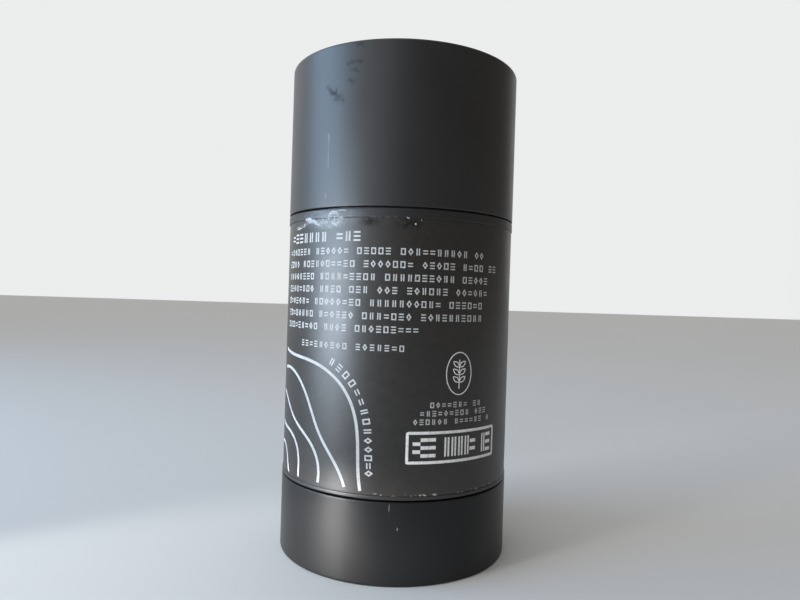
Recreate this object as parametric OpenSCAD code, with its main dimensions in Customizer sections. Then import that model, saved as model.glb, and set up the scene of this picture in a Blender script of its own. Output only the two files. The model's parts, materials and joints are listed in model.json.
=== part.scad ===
// Twist-up deodorant stick: cap, labelled barrel, turn base, screw spindle, keyed carrier and
// the solid deodorant. Millimetres, +Z up. The origin is the centre of the circle it stands on.

/* [Outside] */
// Outside diameter of the cap, the barrel and the turn base
body_d = 50; // [44:1:60]
// Height of the turn base
base_h = 16.2; // [14:0.1:20]
// Height of the barrel's visible wall
barrel_h = 55.4; // [50:0.1:70]
// Height of the cap's outside
cap_h = 31.9; // [28:0.1:40]
// Radius on the cap's top edge
cap_edge_r = 0.5; // [0.3:0.1:1.2]
// Radius on the turn base's bottom edge
base_edge_r = 0.5; // [0.3:0.1:1.1]
// Radius on the edges that face each other at a seam
seam_edge_r = 0.2; // [0.1:0.05:0.3]

/* [Cap] */
// Thickness of the cap's side wall
cap_wall = 1.3; // [1:0.1:1.6]
// Thickness of the cap's top
cap_top_t = 1.8; // [1.2:0.1:2.4]
// Fillet inside the cap, where its wall meets its top
cap_fillet_r = 1.2; // [0.6:0.1:2]
// Lead-in chamfer inside the cap's mouth
cap_lead_in = 0.4; // [0.2:0.1:0.6]
// How many grip ribs stand inside the cap
cap_ribs = 12; // [6:1:16]
// Width of a grip rib
cap_rib_w = 1; // [0.6:0.1:1.6]
// Height of the grip ribs along the cap
cap_rib_h = 9; // [5:0.5:11]
// Distance from the cap's mouth to the foot of the grip ribs
cap_rib_start = 2; // [1:0.5:3]

/* [Barrel] */
// Wall thickness of the neck inside the cap
neck_wall = 1.4; // [0.8:0.1:1.6]
// Height of the neck above the shoulder
neck_h = 16.2; // [14:0.1:18]
// Radius on the neck's mouth, outside
mouth_edge_r = 0.5; // [0.3:0.1:0.7]
// Thickness of the barrel's floor
floor_t = 1.6; // [1.2:0.1:2.2]
// How deep the barrel's collar reaches into the turn base
collar_h = 7; // [5.5:0.1:9]
// Wall thickness of the collar
collar_wall = 1; // [0.8:0.1:1.2]
// How far the snap bead stands out of the collar
snap_h = 0.45; // [0.35:0.05:0.5]
// Height of the snap bead along the collar
snap_w = 1.6; // [1.2:0.1:2]
// Height of the plain end of the collar below the snap bead
snap_start = 1; // [0.6:0.1:1.6]
// How many keys run up the bore
keys = 4; // [2:1:6]
// Width of a key
key_w = 1.4; // [1:0.1:2]
// Height of a key above the bore
key_h = 0.8; // [0.5:0.1:1]
// How far below the mouth the keys end
key_end = 2; // [1:0.5:4]

/* [Label] */
// Bare strip between the barrel's lower edge and the label
label_low = 0.8; // [0.6:0.1:4]
// Bare strip between the label and the shoulder
label_high = 1.8; // [0.8:0.1:4]
// Depth of the panel that the label lies in
panel_depth = 0.3; // [0.28:0.01:0.4]
// Thickness of the label's film
label_t = 0.12; // [0.08:0.01:0.12]
// Thickness of the adhesive under it
glue_t = 0.03; // [0.02:0.01:0.04]
// Width of the lap where the label's ends meet at the back
label_lap = 4; // [2:0.5:8]

/* [Turn base] */
// How high the recessed foot stands above the surface
foot_recess = 1.2; // [0.6:0.1:2]
// Width of the ring that the stick stands on
foot_ring_w = 3.2; // [2.4:0.1:4]
// Thickness of the base's bottom wall
base_floor_t = 1.4; // [1:0.1:2]
// Radius of the hub round the spindle's foot
hub_r = 7; // [6.4:0.1:8]
// Height of the ribs inside the base, above its bottom wall
base_rib_h = 4; // [2:0.5:5]
// Thickness of a rib inside the base
base_rib_t = 1; // [0.8:0.1:1.4]
// How many ribs join the hub to the wall
base_ribs = 8; // [4:1:12]

/* [Screw] */
// Radius of the screw at its root
root_r = 3.6; // [3:0.1:4]
// Height of the thread
thread_depth = 1.2; // [0.8:0.1:1.4]
// How far the carrier climbs in one turn
thread_lead = 8; // [7:0.5:12]
// How many threads run side by side
thread_starts = 2; // [2:1:2]
// Width of the thread at its crest, along the screw
crest_w = 1; // [0.8:0.1:1.2]
// Width of the thread at its root, along the screw
root_w = 2.2; // [1.8:0.1:2.4]
// How far below the mouth the screw ends
screw_end = 6; // [5:0.5:12]
// Length of the plain pilot at the screw's tip
pilot_h = 1.6; // [1:0.1:3]
// Radius of the pilot
pilot_r = 3.1; // [2.5:0.1:3.4]
// Radius of the spindle's journal in the barrel's floor
journal_r = 5.6; // [5.4:0.1:6]
// Radius of the spindle's flange on the barrel's floor
flange_r = 8.4; // [7.5:0.1:10]
// Thickness of the flange
flange_t = 1.2; // [0.8:0.1:2]
// Width across the corners of the spindle's hexagonal foot
foot_hex_d = 9; // [8:0.1:9.6]
// How far the foot reaches down into the hub
foot_hex_h = 9; // [6:0.1:11]

/* [Carrier] */
// Thickness of the carrier's floor
plate_t = 1.4; // [1:0.1:2]
// Height of the rim round the deodorant's foot
rim_h = 3; // [2:0.1:4]
// Thickness of the rim and of the skirt
rim_t = 1; // [0.8:0.1:1.4]
// Height of the skirt below the floor
skirt_h = 4; // [3:0.1:6]
// Length of the nut boss below the floor
boss_h = 9; // [7:0.1:12]
// Outside radius of the nut boss
boss_r = 7.2; // [6.6:0.1:8]
// How many ribs join the boss to the skirt
plate_ribs = 8; // [4:1:12]
// Thickness of such a rib
plate_rib_t = 0.9; // [0.7:0.1:1.4]
// How many anchor holes lie in the carrier's floor
anchors = 8; // [4:1:12]
// Radius of an anchor hole
anchor_r = 1.5; // [1:0.1:2]
// Distance of the anchor holes from the axis
anchor_at = 14; // [11:0.5:16]

/* [Deodorant] */
// Radius of the dome
dome_r = 70; // [50:1:120]
// Radius where the dome rolls into the side
dome_edge_r = 3; // [1:0.1:4]
// How far the dome stands out of the mouth at rest
dome_out = 2; // [0:0.1:6]
// Space under the cap's roof when the carrier is at its top stop
dome_clear = 1.2; // [0.8:0.1:3]

/* [Fits] */
// Seam between the barrel and its neighbours, along the stick
seam_gap = 0.3; // [0.2:0.05:0.5]
// Clearance between the cap and the neck
cap_fit = 0.2; // [0.15:0.01:0.3]
// Clearance between the grip ribs and the neck
grip_fit = 0.09; // [0.06:0.01:0.12]
// Clearance round everything that slides or turns inside
running_fit = 0.3; // [0.2:0.05:0.4]
// Clearance of the journal in the barrel's floor
journal_fit = 0.15; // [0.1:0.01:0.25]
// Clearance of the spindle's foot in the hub, and of the deodorant in the carrier
snug_fit = 0.08; // [0.05:0.01:0.15]
// Clearance between the screw and the hole through the deodorant
hole_fit = 0.6; // [0.4:0.1:1]

/* [Hidden] */
$fn = 96;
over = 1;                 // how far a cut runs past the face that it opens
sink = 0.5;               // how far a rib, key or bead is let into what carries it
screw_slice_deg = 18;     // turn between two sections of the screw
black = "#25272b";
film = "#1d1e21";
natural = "#e6e6e1";
cream = "#f0efe8";

body_r = body_d / 2;
cap_bore_r = body_r - cap_wall;
neck_r = cap_bore_r - cap_fit;
bore_r = neck_r - neck_wall;
collar_r = bore_r + collar_wall;
base_bore_r = collar_r + running_fit;
panel_r = body_r - panel_depth;
film_r = panel_r + glue_t;
slide_r = bore_r - running_fit;
crest_r = root_r + thread_depth;

barrel_z = base_h + seam_gap;
floor_z = barrel_z + floor_t;
shoulder_z = barrel_z + barrel_h;
mouth_z = shoulder_z + neck_h;
cap_z = shoulder_z + seam_gap;
top_z = cap_z + cap_h;
roof_z = top_z - cap_top_t;
label_z = barrel_z + label_low;
label_top_z = shoulder_z - label_high;
collar_z = barrel_z - collar_h;
snap_z = collar_z + snap_start;
base_floor_z = foot_recess + base_floor_t;
hub_top_z = barrel_z - running_fit;
flange_z = floor_z + running_fit;
screw_z = flange_z + flange_t;
screw_top_z = mouth_z - screw_end;

// At the top stop the carrier's rim is level with the mouth and the dome is just under the roof.
top_stop_z = mouth_z - rim_h;
product_h = roof_z - dome_clear - top_stop_z;
plate_z = mouth_z + dome_out - product_h;
boss_z = plate_z - plate_t - boss_h;
bottom_stop_z = screw_z + running_fit + boss_h + plate_t;
echo(total_h = top_z, lift_up = top_stop_z - plate_z, lift_down = bottom_stop_z - plate_z);

// Half section of a plain ring, for rotate_extrude()
module band(r0, r1, z0, z1) {
    translate([r0, z0]) square([r1 - r0, z1 - z0]);
}

// What a radius takes off a square corner. The corner is at the origin and the solid lies
// towards +X and +Y.
module corner_waste(r) {
    difference() {
        translate([-over, -over]) square(r + over);
        translate([r, r]) circle(r);
    }
}

// The same for an outer edge that faces up, and for one that faces down
module upper_edge_waste(r_at, z_at, r) {
    translate([r_at, z_at]) rotate(180) corner_waste(r);
}

module lower_edge_waste(r_at, z_at, r) {
    translate([r_at, z_at]) mirror([1, 0]) corner_waste(r);
}

module around(count) {
    for (i = [0 : count - 1])
        rotate([0, 0, 360 * i / count]) children();
}

// Cross-section of the screw, square to its axis. Each start is one lobe, and grow widens
// the lobes and the root for the nut.
function lobe(at, root, crest, half_root, half_crest) = concat(
    [for (a = [-half_root, -half_crest]) [a == -half_root ? root : crest, at + a]],
    [for (i = [1 : 2]) [crest, at - half_crest + i * 2 * half_crest / 3]],
    [for (a = [half_crest, half_root]) [a == half_root ? root : crest, at + a]],
    [for (i = [1 : 3]) [root, at + half_root + i * (360 / thread_starts - 2 * half_root) / 4]]
);

module screw_section(grow) {
    half_root = 180 * (root_w + 2 * grow) / thread_lead;
    half_crest = 180 * (crest_w + 2 * grow) / thread_lead;
    polar = [for (k = [0 : thread_starts - 1])
        each lobe(360 * k / thread_starts, root_r + grow, crest_r + grow, half_root, half_crest)];
    polygon([for (p = polar) p[0] * [cos(p[1]), sin(p[1])]]);
}

// The left-hand screw between two heights, in the same phase wherever it is cut
module screw(z0, z1, grow = 0) {
    turned = 360 * (z1 - z0) / thread_lead;
    translate([0, 0, z0])
        rotate([0, 0, -360 * z0 / thread_lead])
            linear_extrude(height = z1 - z0, twist = turned, slices = ceil(turned / screw_slice_deg),
                           segments = 1)
                screw_section(grow);
}

module cap() {
    color(black) {
        rotate_extrude() difference() {
            band(0, body_r, cap_z, top_z);
            difference() {
                translate([0, cap_z - over]) square([cap_bore_r, roof_z - cap_z + over]);
                upper_edge_waste(cap_bore_r, roof_z, cap_fillet_r);
            }
            polygon([
                [cap_bore_r - over, cap_z - over], [cap_bore_r + cap_lead_in + over, cap_z - over],
                [cap_bore_r - over, cap_z + cap_lead_in + over]
            ]);
            upper_edge_waste(body_r, top_z, cap_edge_r);
            lower_edge_waste(body_r, cap_z, seam_edge_r);
        }
        around(cap_ribs)
            intersection() {
                translate([neck_r, -cap_rib_w / 2, cap_z + cap_rib_start])
                    cube([cap_wall, cap_rib_w, cap_rib_h]);
                rotate_extrude()
                    band(neck_r + grip_fit, cap_bore_r + sink, cap_z, roof_z);
            }
    }
}

// Half section of the snap bead on the collar, or of the groove that it turns in
module snap_section(grow) {
    polygon([
        [collar_r - sink, snap_z - grow], [collar_r, snap_z - grow],
        [collar_r + snap_h + grow, snap_z + snap_w / 2 - grow / 2],
        [collar_r + snap_h + grow, snap_z + snap_w / 2 + grow / 2],
        [collar_r, snap_z + snap_w + grow], [collar_r - sink, snap_z + snap_w + grow]
    ]);
}

module barrel() {
    color(black) {
        rotate_extrude() difference() {
            union() {
                band(bore_r, body_r, barrel_z, shoulder_z);
                band(bore_r, neck_r, barrel_z, mouth_z);
                band(bore_r, collar_r, collar_z, floor_z);
                band(journal_r + journal_fit, bore_r + sink, barrel_z, floor_z);
                intersection() {
                    snap_section(0);
                    band(bore_r, body_r, collar_z, barrel_z);
                }
            }
            band(panel_r, body_r + over, label_z, label_top_z);
            upper_edge_waste(body_r, shoulder_z, seam_edge_r);
            upper_edge_waste(neck_r, mouth_z, mouth_edge_r);
            lower_edge_waste(body_r, barrel_z, seam_edge_r);
        }
        around(keys)
            translate([bore_r - key_h, -key_w / 2, floor_z - sink])
                cube([key_h + sink, key_w, mouth_z - key_end - floor_z + sink]);
    }
}

module label() {
    lap_deg = label_lap / film_r * 180 / PI;
    color(film) {
        rotate_extrude()
            band(film_r, film_r + label_t, label_z, label_top_z);
        rotate([0, 0, 90 - lap_deg / 2])
            rotate_extrude(angle = lap_deg)
                band(film_r + label_t / 2, film_r + 2 * label_t, label_z, label_top_z);
    }
}

module turn_base() {
    color(black) difference() {
        union() {
            rotate_extrude() difference() {
                band(0, body_r, 0, base_h);
                band(0, body_r - foot_ring_w, -over, foot_recess);
                difference() {
                    band(0, base_bore_r, base_floor_z, base_h + over);
                    band(0, hub_r, base_floor_z - over, hub_top_z);
                }
                intersection() {
                    snap_section(running_fit);
                    band(0, body_r, collar_z - over, barrel_z);
                }
                lower_edge_waste(body_r, 0, base_edge_r);
                upper_edge_waste(body_r, base_h, seam_edge_r);
            }
            around(base_ribs)
                translate([hub_r - sink, -base_rib_t / 2, base_floor_z - sink])
                    cube([base_bore_r - hub_r + 2 * sink, base_rib_t, base_rib_h + sink]);
        }
        translate([0, 0, hub_top_z - foot_hex_h - running_fit])
            cylinder(r = foot_hex_d / 2 + snug_fit, h = foot_hex_h + running_fit + over, $fn = 6);
    }
}

module spindle() {
    color(natural) {
        translate([0, 0, hub_top_z - foot_hex_h])
            cylinder(d = foot_hex_d, h = foot_hex_h + running_fit, $fn = 6);
        rotate_extrude() {
            band(0, journal_r, hub_top_z + running_fit / 2, flange_z);
            band(0, flange_r, flange_z, screw_z);
            band(0, pilot_r, screw_z, screw_top_z + pilot_h);
        }
        screw(screw_z, screw_top_z);
    }
}

// Slots in the carrier and the deodorant that run on the barrel's keys
module key_slots(z0, z1) {
    around(keys)
        translate([bore_r - key_h - running_fit, -key_w / 2 - running_fit, z0 - over])
            cube([key_h + over, key_w + 2 * running_fit, z1 - z0 + 2 * over]);
}

module carrier() {
    color(natural) difference() {
        union() {
            rotate_extrude() {
                band(0, slide_r, plate_z - plate_t, plate_z);
                band(slide_r - rim_t, slide_r, plate_z - plate_t - skirt_h, plate_z + rim_h);
                band(0, boss_r, boss_z, plate_z);
            }
            around(plate_ribs)
                rotate([0, 0, 180 / plate_ribs])
                    translate([boss_r - sink, -plate_rib_t / 2, plate_z - plate_t - skirt_h])
                        cube([slide_r - boss_r, plate_rib_t, skirt_h + sink]);
        }
        screw(boss_z - over, plate_z + over, running_fit);
        key_slots(plate_z - plate_t - skirt_h, plate_z + rim_h);
        around(anchors)
            translate([anchor_at, 0, plate_z - plate_t - over])
                cylinder(r = anchor_r, h = plate_t + 2 * over);
    }
}

module deodorant() {
    apex_z = plate_z + product_h;
    edge_at = slide_r - dome_edge_r;
    dome_z = apex_z - dome_r;
    edge_z = dome_z + sqrt(pow(dome_r - dome_edge_r, 2) - pow(edge_at, 2));
    reach = dome_r / (dome_r - dome_edge_r);
    color(cream) difference() {
        rotate_extrude() difference() {
            union() {
                band(0, slide_r, plate_z + snug_fit, edge_z);
                translate([edge_at, edge_z]) circle(dome_edge_r);
                intersection() {
                    translate([0, dome_z]) circle(dome_r, $fn = 360);
                    polygon([
                        [0, plate_z + snug_fit], [edge_at, plate_z + snug_fit], [edge_at, edge_z],
                        [edge_at * reach, dome_z + (edge_z - dome_z) * reach],
                        [edge_at, apex_z + over], [0, apex_z + over]
                    ]);
                }
            }
            band(slide_r - rim_t - snug_fit, slide_r + over, plate_z - over, plate_z + rim_h + snug_fit);
            band(0, crest_r + hole_fit, plate_z - over, apex_z + over);
        }
        key_slots(plate_z, apex_z);
    }
}

cap();
barrel();
label();
turn_base();
spindle();
carrier();
deodorant();
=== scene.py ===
# Looks of the twist-up deodorant stick: satin black shells, printed film, wear, wax and stage
import json
import math
import random

import bmesh
import bpy
from bpy.props import FloatProperty, FloatVectorProperty, IntProperty, PointerProperty
from mathutils import Matrix, Vector

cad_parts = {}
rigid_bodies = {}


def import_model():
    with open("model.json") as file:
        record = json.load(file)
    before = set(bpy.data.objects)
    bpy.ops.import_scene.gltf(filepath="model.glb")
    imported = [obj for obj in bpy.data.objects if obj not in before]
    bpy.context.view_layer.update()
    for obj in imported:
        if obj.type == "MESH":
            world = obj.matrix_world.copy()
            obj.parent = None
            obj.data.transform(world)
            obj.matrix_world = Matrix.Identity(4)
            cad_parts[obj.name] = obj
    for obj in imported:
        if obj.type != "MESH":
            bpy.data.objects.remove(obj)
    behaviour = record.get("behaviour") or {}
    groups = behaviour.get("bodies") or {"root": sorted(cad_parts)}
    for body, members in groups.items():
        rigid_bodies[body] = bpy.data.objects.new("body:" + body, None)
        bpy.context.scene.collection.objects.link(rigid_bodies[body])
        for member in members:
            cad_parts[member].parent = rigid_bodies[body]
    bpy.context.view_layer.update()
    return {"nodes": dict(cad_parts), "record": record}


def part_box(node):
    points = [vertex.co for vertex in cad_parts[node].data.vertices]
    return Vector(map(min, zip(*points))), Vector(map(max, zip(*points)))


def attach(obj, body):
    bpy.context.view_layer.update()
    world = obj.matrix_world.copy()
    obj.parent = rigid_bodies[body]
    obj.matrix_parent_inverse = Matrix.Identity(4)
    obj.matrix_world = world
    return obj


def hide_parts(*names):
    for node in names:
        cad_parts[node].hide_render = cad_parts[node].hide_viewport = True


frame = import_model()

bl_info = {
    "name": "Twist-up Deodorant Stick",
    "version": (1, 0, 0),
    "blender": (4, 5, 0),
    "location": "View3D > Sidebar > Stick",
    "description": "Builds the shells, film, print, wear and stage round the packed stick",
    "category": "Object",
}

MM = 0.001
ARC_STEPS = 7               # points on a rounded corner of a section
HOLD = 0.25                 # distance of a section's support points from its corners, in mm
SPAN = 3.0                  # longest plain step along a section, in mm
HARD_EDGE = 38              # degrees from which an edge is shaded as a sharp one
WELD = 0.0005               # distance within which a shell's points become one, in mm
WAVE_RISE = 1.0             # height over which a shell's waves set in, in mm
LUMP, TEAR = 0.7, 0.35      # size of a smear's lumps and of its torn edges, in mm
LAST_PICK = 999             # highest random number that chooses a mark
# Faces of a box whose corners count up along its height, then its width, then its length
BOX_FACES = ((0, 1, 3, 2), (4, 6, 7, 5), (0, 4, 5, 1), (2, 3, 7, 6), (0, 2, 6, 4), (1, 5, 7, 3))
SMUDGE_BLACK = (0.005, 0.005, 0.005)
SCUFF_BLACK = (0.005, 0.005, 0.006)
# Blue grey of the pale streaks on the cap and base
PALE_STREAK_TINT = (0.5, 0.54, 0.6)
# Pale haze on the barrel's strip and the film's top edge: partly dried deodorant, partly painted highlight
SHELL_HAZE_AND_HIGHLIGHT = (0.5, 0.52, 0.54)
FILM_HAZE_AND_HIGHLIGHT = (0.62, 0.64, 0.66)
# Warm grey of the pale flecks along the film's lower edge
PALE_EDGE_TINT = (0.55, 0.53, 0.5)
CRUMB_DARK, CRUMB_PALE = (0.2, 0.21, 0.22), (0.6, 0.62, 0.63)
TREES = {}                  # geometry node trees by name, filled by the first operator


def mm(metres):
    return metres / MM


def turned_size(corners):
    """Radius, lowest and highest level of a turned piece's box, in millimetres."""
    low, high = corners
    return mm(high.x), mm(low.z), mm(high.z)


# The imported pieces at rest, in millimetres
CAP_RADIUS, CAP_LOW, CAP_HIGH = turned_size(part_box("cap"))
BARREL_RADIUS, BARREL_LOW, BARREL_HIGH = turned_size(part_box("barrel"))
FILM_RADIUS, FILM_LOW, FILM_HIGH = turned_size(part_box("label"))
BASE_RADIUS, BASE_LOW, BASE_HIGH = turned_size(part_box("turn_base"))
WAX_RADIUS, WAX_LOW, WAX_HIGH = turned_size(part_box("deodorant"))


# Properties


def length(name, description, millimetres):
    return FloatProperty(name=name, description=description, default=millimetres * MM, unit="LENGTH")


def factor(name, description, default):
    return FloatProperty(
        name=name, description=description, default=default, min=0, max=1, subtype="FACTOR"
    )


def tint(name, description, default):
    return FloatVectorProperty(
        name=name, description=description, default=default, min=0, max=1, subtype="COLOR"
    )


def tilt(name, description, degrees):
    return FloatProperty(
        name=name, description=description, default=math.radians(degrees), subtype="ANGLE"
    )


def power(name, description, watts):
    return FloatProperty(
        name=name, description=description, default=watts, precision=5, unit="POWER"
    )


class StickShells(bpy.types.PropertyGroup):
    """Sizes of the turned shells that the frame's boxes do not give."""

    segments: IntProperty(
        name="Segments", description="Faces round each turned shell", default=192, min=24
    )
    cap_wall: length("Cap wall", "Thickness of the cap's side", 1.3)
    cap_top: length("Cap top", "Thickness of the cap's top", 1.8)
    cap_fit: length("Cap fit", "Clearance between cap and neck", 0.2)
    neck_wall: length("Neck wall", "Thickness of the neck", 1.4)
    collar_wall: length("Collar wall", "Thickness of the barrel's collar", 1.0)
    outer_edge: length("Outer edge", "Radius of the top and bottom rims", 0.5)
    seam_edge: length("Seam edge", "Radius of the edges at a seam", 0.2)
    seam_gap: length("Seam gap", "Gap between barrel and neighbours", 0.3)
    panel_depth: length("Panel depth", "Depth of the label's panel", 0.3)
    film: length("Film", "Thickness of the label's film", 0.12)
    film_wave: length("Film wave", "How far the film stands off in soft waves", 0.05)
    floor: length("Barrel floor", "Thickness of the barrel's floor", 1.6)
    running_fit: length("Running fit", "Clearance round what slides inside", 0.3)


class StickPrint(bpy.types.PropertyGroup):
    """Sizes of the generic white print."""

    ink: length("Ink", "Height of the ink above the film", 0.02)
    mark_height: length("Mark height", "Height of a mark in the main rows", 1.3)
    mark_pitch: length("Mark pitch", "Distance between marks in a row", 1.42)
    stroke: length("Stroke", "Width of a mark's stroke", 0.24)
    row_pitch: length("Row pitch", "Distance between the main rows", 2.48)
    line_width: length("Line width", "Width of the flowing lines", 0.62)
    seed: IntProperty(name="Seed", description="Order of the marks and words", default=11)


class StickWear(bpy.types.PropertyGroup):
    """Sizes of the dried deodorant that is smeared along the film's top edge."""

    paste_width: length("Paste width", "Half the width of a smear", 0.34)
    paste_height: FloatProperty(
        name="Paste height", description="Height of a smear over its half width", default=0.3, min=0.05
    )
    paste_rough: length("Paste roughness", "How ragged a smear's sides are", 0.26)
    seed: IntProperty(name="Seed", description="Shape of the smears and crumbs", default=4)


class StickFinish(bpy.types.PropertyGroup):
    """Colours and roughness of the materials."""

    shell_colour: tint("Shell colour", "Black of the moulded shells", (0.0108, 0.0105, 0.0108))
    film_colour: tint("Film colour", "Black of the label's film", (0.0172, 0.0140, 0.0112))
    ink_colour: tint("Ink colour", "White of the print", (0.60, 0.59, 0.57))
    wax_colour: tint("Wax colour", "Colour of the deodorant", (0.84, 0.82, 0.75))
    natural_colour: tint("Natural colour", "Uncoloured inner mouldings", (0.74, 0.74, 0.71))
    roughness: factor("Roughness", "Roughness of the moulded shells", 0.40)
    base_roughness: factor("Base roughness", "Roughness of the turn base", 0.37)
    gloss: factor("Gloss", "Specular level of the cap, barrel and film", 0.7)
    base_gloss: factor("Base gloss", "Specular level of the turn base", 0.34)


class StickStage(bpy.types.PropertyGroup):
    """Camera, lamps and surroundings."""

    eye_distance: length("Eye distance", "Camera to the stick's axis", 144.3)
    eye_height: length("Eye height", "Camera above the floor", 54.7)
    lens: FloatProperty(
        name="Lens", description="Focal length on a 36 mm sensor", default=28.42, unit="CAMERA"
    )
    pitch: tilt("Pitch", "Camera's look upwards", -0.09)
    yaw: tilt("Yaw", "Camera's look to the right", 0.12)
    roll: tilt("Roll", "Lean of the stick in the picture", 1.78)
    high_power: power("High lamp", "Power of the cool lamp high at the left", 1.6)
    low_power: power("Low lamp", "Power of the neutral lamp low at the left", 0.23)
    strip_power: power("Strip lamp", "Power of the narrow lamp beside the base", 0.021)
    surround: tint("Surround", "Pale light from all round", (0.84, 0.845, 0.85))
    shade: tint("Shade", "Darker light from the right", (0.19, 0.175, 0.16))


# Node trees


def combined(operation, swapped=False):
    """A method of Value that combines it with another value or a number in a math node."""

    def combine(self, other):
        pair = (other, self) if swapped else (self, other)
        return self.nodes.math(operation, *pair)

    return combine


class Value:
    """One output of a node. A sum with it adds a math node to its tree."""

    __add__ = combined("ADD")
    __sub__ = combined("SUBTRACT")
    __rsub__ = combined("SUBTRACT", swapped=True)
    __mul__ = combined("MULTIPLY")
    __truediv__ = combined("DIVIDE")
    __rtruediv__ = combined("DIVIDE", swapped=True)
    __pow__ = combined("POWER")

    def __init__(self, nodes, socket):
        self.nodes = nodes
        self.socket = socket

    def ramp(self, low, high, to_low=0.0, to_high=1.0):
        """Straight change from to_low to to_high while the value goes from low to high."""
        return self.nodes.get("ShaderNodeMapRange", self, low, high, to_low, to_high)

    def spread(self, to_low, to_high):
        """Straight change from to_low to to_high over the middle of a noise's range."""
        return self.ramp(0.3, 0.7, to_low, to_high)


class Nodes:
    """A node tree, with short calls for the nodes that it needs."""

    def __init__(self, tree):
        self.tree = tree
        tree.nodes.clear()

    def feed(self, socket, value):
        if isinstance(value, Value):
            value = value.socket
        if isinstance(value, bpy.types.NodeSocket):
            self.tree.links.new(value, socket)
        else:
            socket.default_value = value

    def fill(self, node, **inputs):
        for name, value in inputs.items():
            self.feed(node.inputs[name.replace("_", " ")], value)

    def add(self, kind, *values, **named):
        """A new node. Values go to its first inputs. Names with a capital are inputs, others settings."""
        made = self.tree.nodes.new(kind)
        for name, value in named.items():
            if name.islower():
                setattr(made, name, value)
        for socket, value in zip(made.inputs, values):
            self.feed(socket, value)
        self.fill(made, **{name: value for name, value in named.items() if not name.islower()})
        return made

    def get(self, kind, *values, **named):
        return Value(self, self.add(kind, *values, **named).outputs[0])

    def math(self, operation, *values, clamp=False):
        return self.get("ShaderNodeMath", *values, operation=operation, use_clamp=clamp)

    def within(self, value):
        return self.math("MINIMUM", self.math("MAXIMUM", value, 0.0), 1.0)

    def rest(self, value):
        """What is left of one, and never less than nothing."""
        return self.math("SUBTRACT", 1.0, value, clamp=True)

    def vectors(self, operation, *values, result=0):
        made = self.add("ShaderNodeVectorMath", *values, operation=operation)
        return Value(self, made.outputs[result])

    def vector(self, x, y, z):
        return self.get("ShaderNodeCombineXYZ", x, y, z)

    def split(self, vector):
        return [Value(self, part) for part in self.add("ShaderNodeSeparateXYZ", vector).outputs]

    def blend(self, share, *colours):
        """From the first colour to the second."""
        made = self.add("ShaderNodeMix", share, data_type="RGBA")
        for socket, colour in zip(made.inputs[6:8], colours):
            self.feed(socket, colour if isinstance(colour, Value) else (*colour, 1.0))
        return Value(self, made.outputs[2])


class Graph(Nodes):
    """One material's shader, fed from the place on the object in millimetres."""

    def __init__(self, name):
        self.material = bpy.data.materials.new(name)
        self.material.use_nodes = True
        super().__init__(self.material.node_tree)
        self.shader = self.add("ShaderNodeBsdfPrincipled")
        self.add("ShaderNodeOutputMaterial", self.shader.outputs["BSDF"])
        place = self.add("ShaderNodeTexCoord").outputs["Object"]
        self.place = self.get("ShaderNodeMapping", place, Scale=(1 / MM,) * 3)

    def noise(self, size, detail=2.0, rough=0.5, stretch=(1, 1, 1), shift=(0, 0, 0)):
        """Noise between 0 and 1 whose features are about size millimetres across."""
        place = self.get("ShaderNodeMapping", self.place, Scale=stretch, Location=shift)
        return self.get("ShaderNodeTexNoise", place, Scale=1 / size, Detail=detail, Roughness=rough)

    def done(self, colour, rough, height, depth, **inputs):
        """Feeds the shader, with a relief whose depth is in millimetres, and gives the material."""
        relief = self.get("ShaderNodeBump", Height=height, Distance=depth * MM)
        self.fill(self.shader, Base_Color=colour, Roughness=rough, Normal=relief, **inputs)
        return self.material


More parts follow.
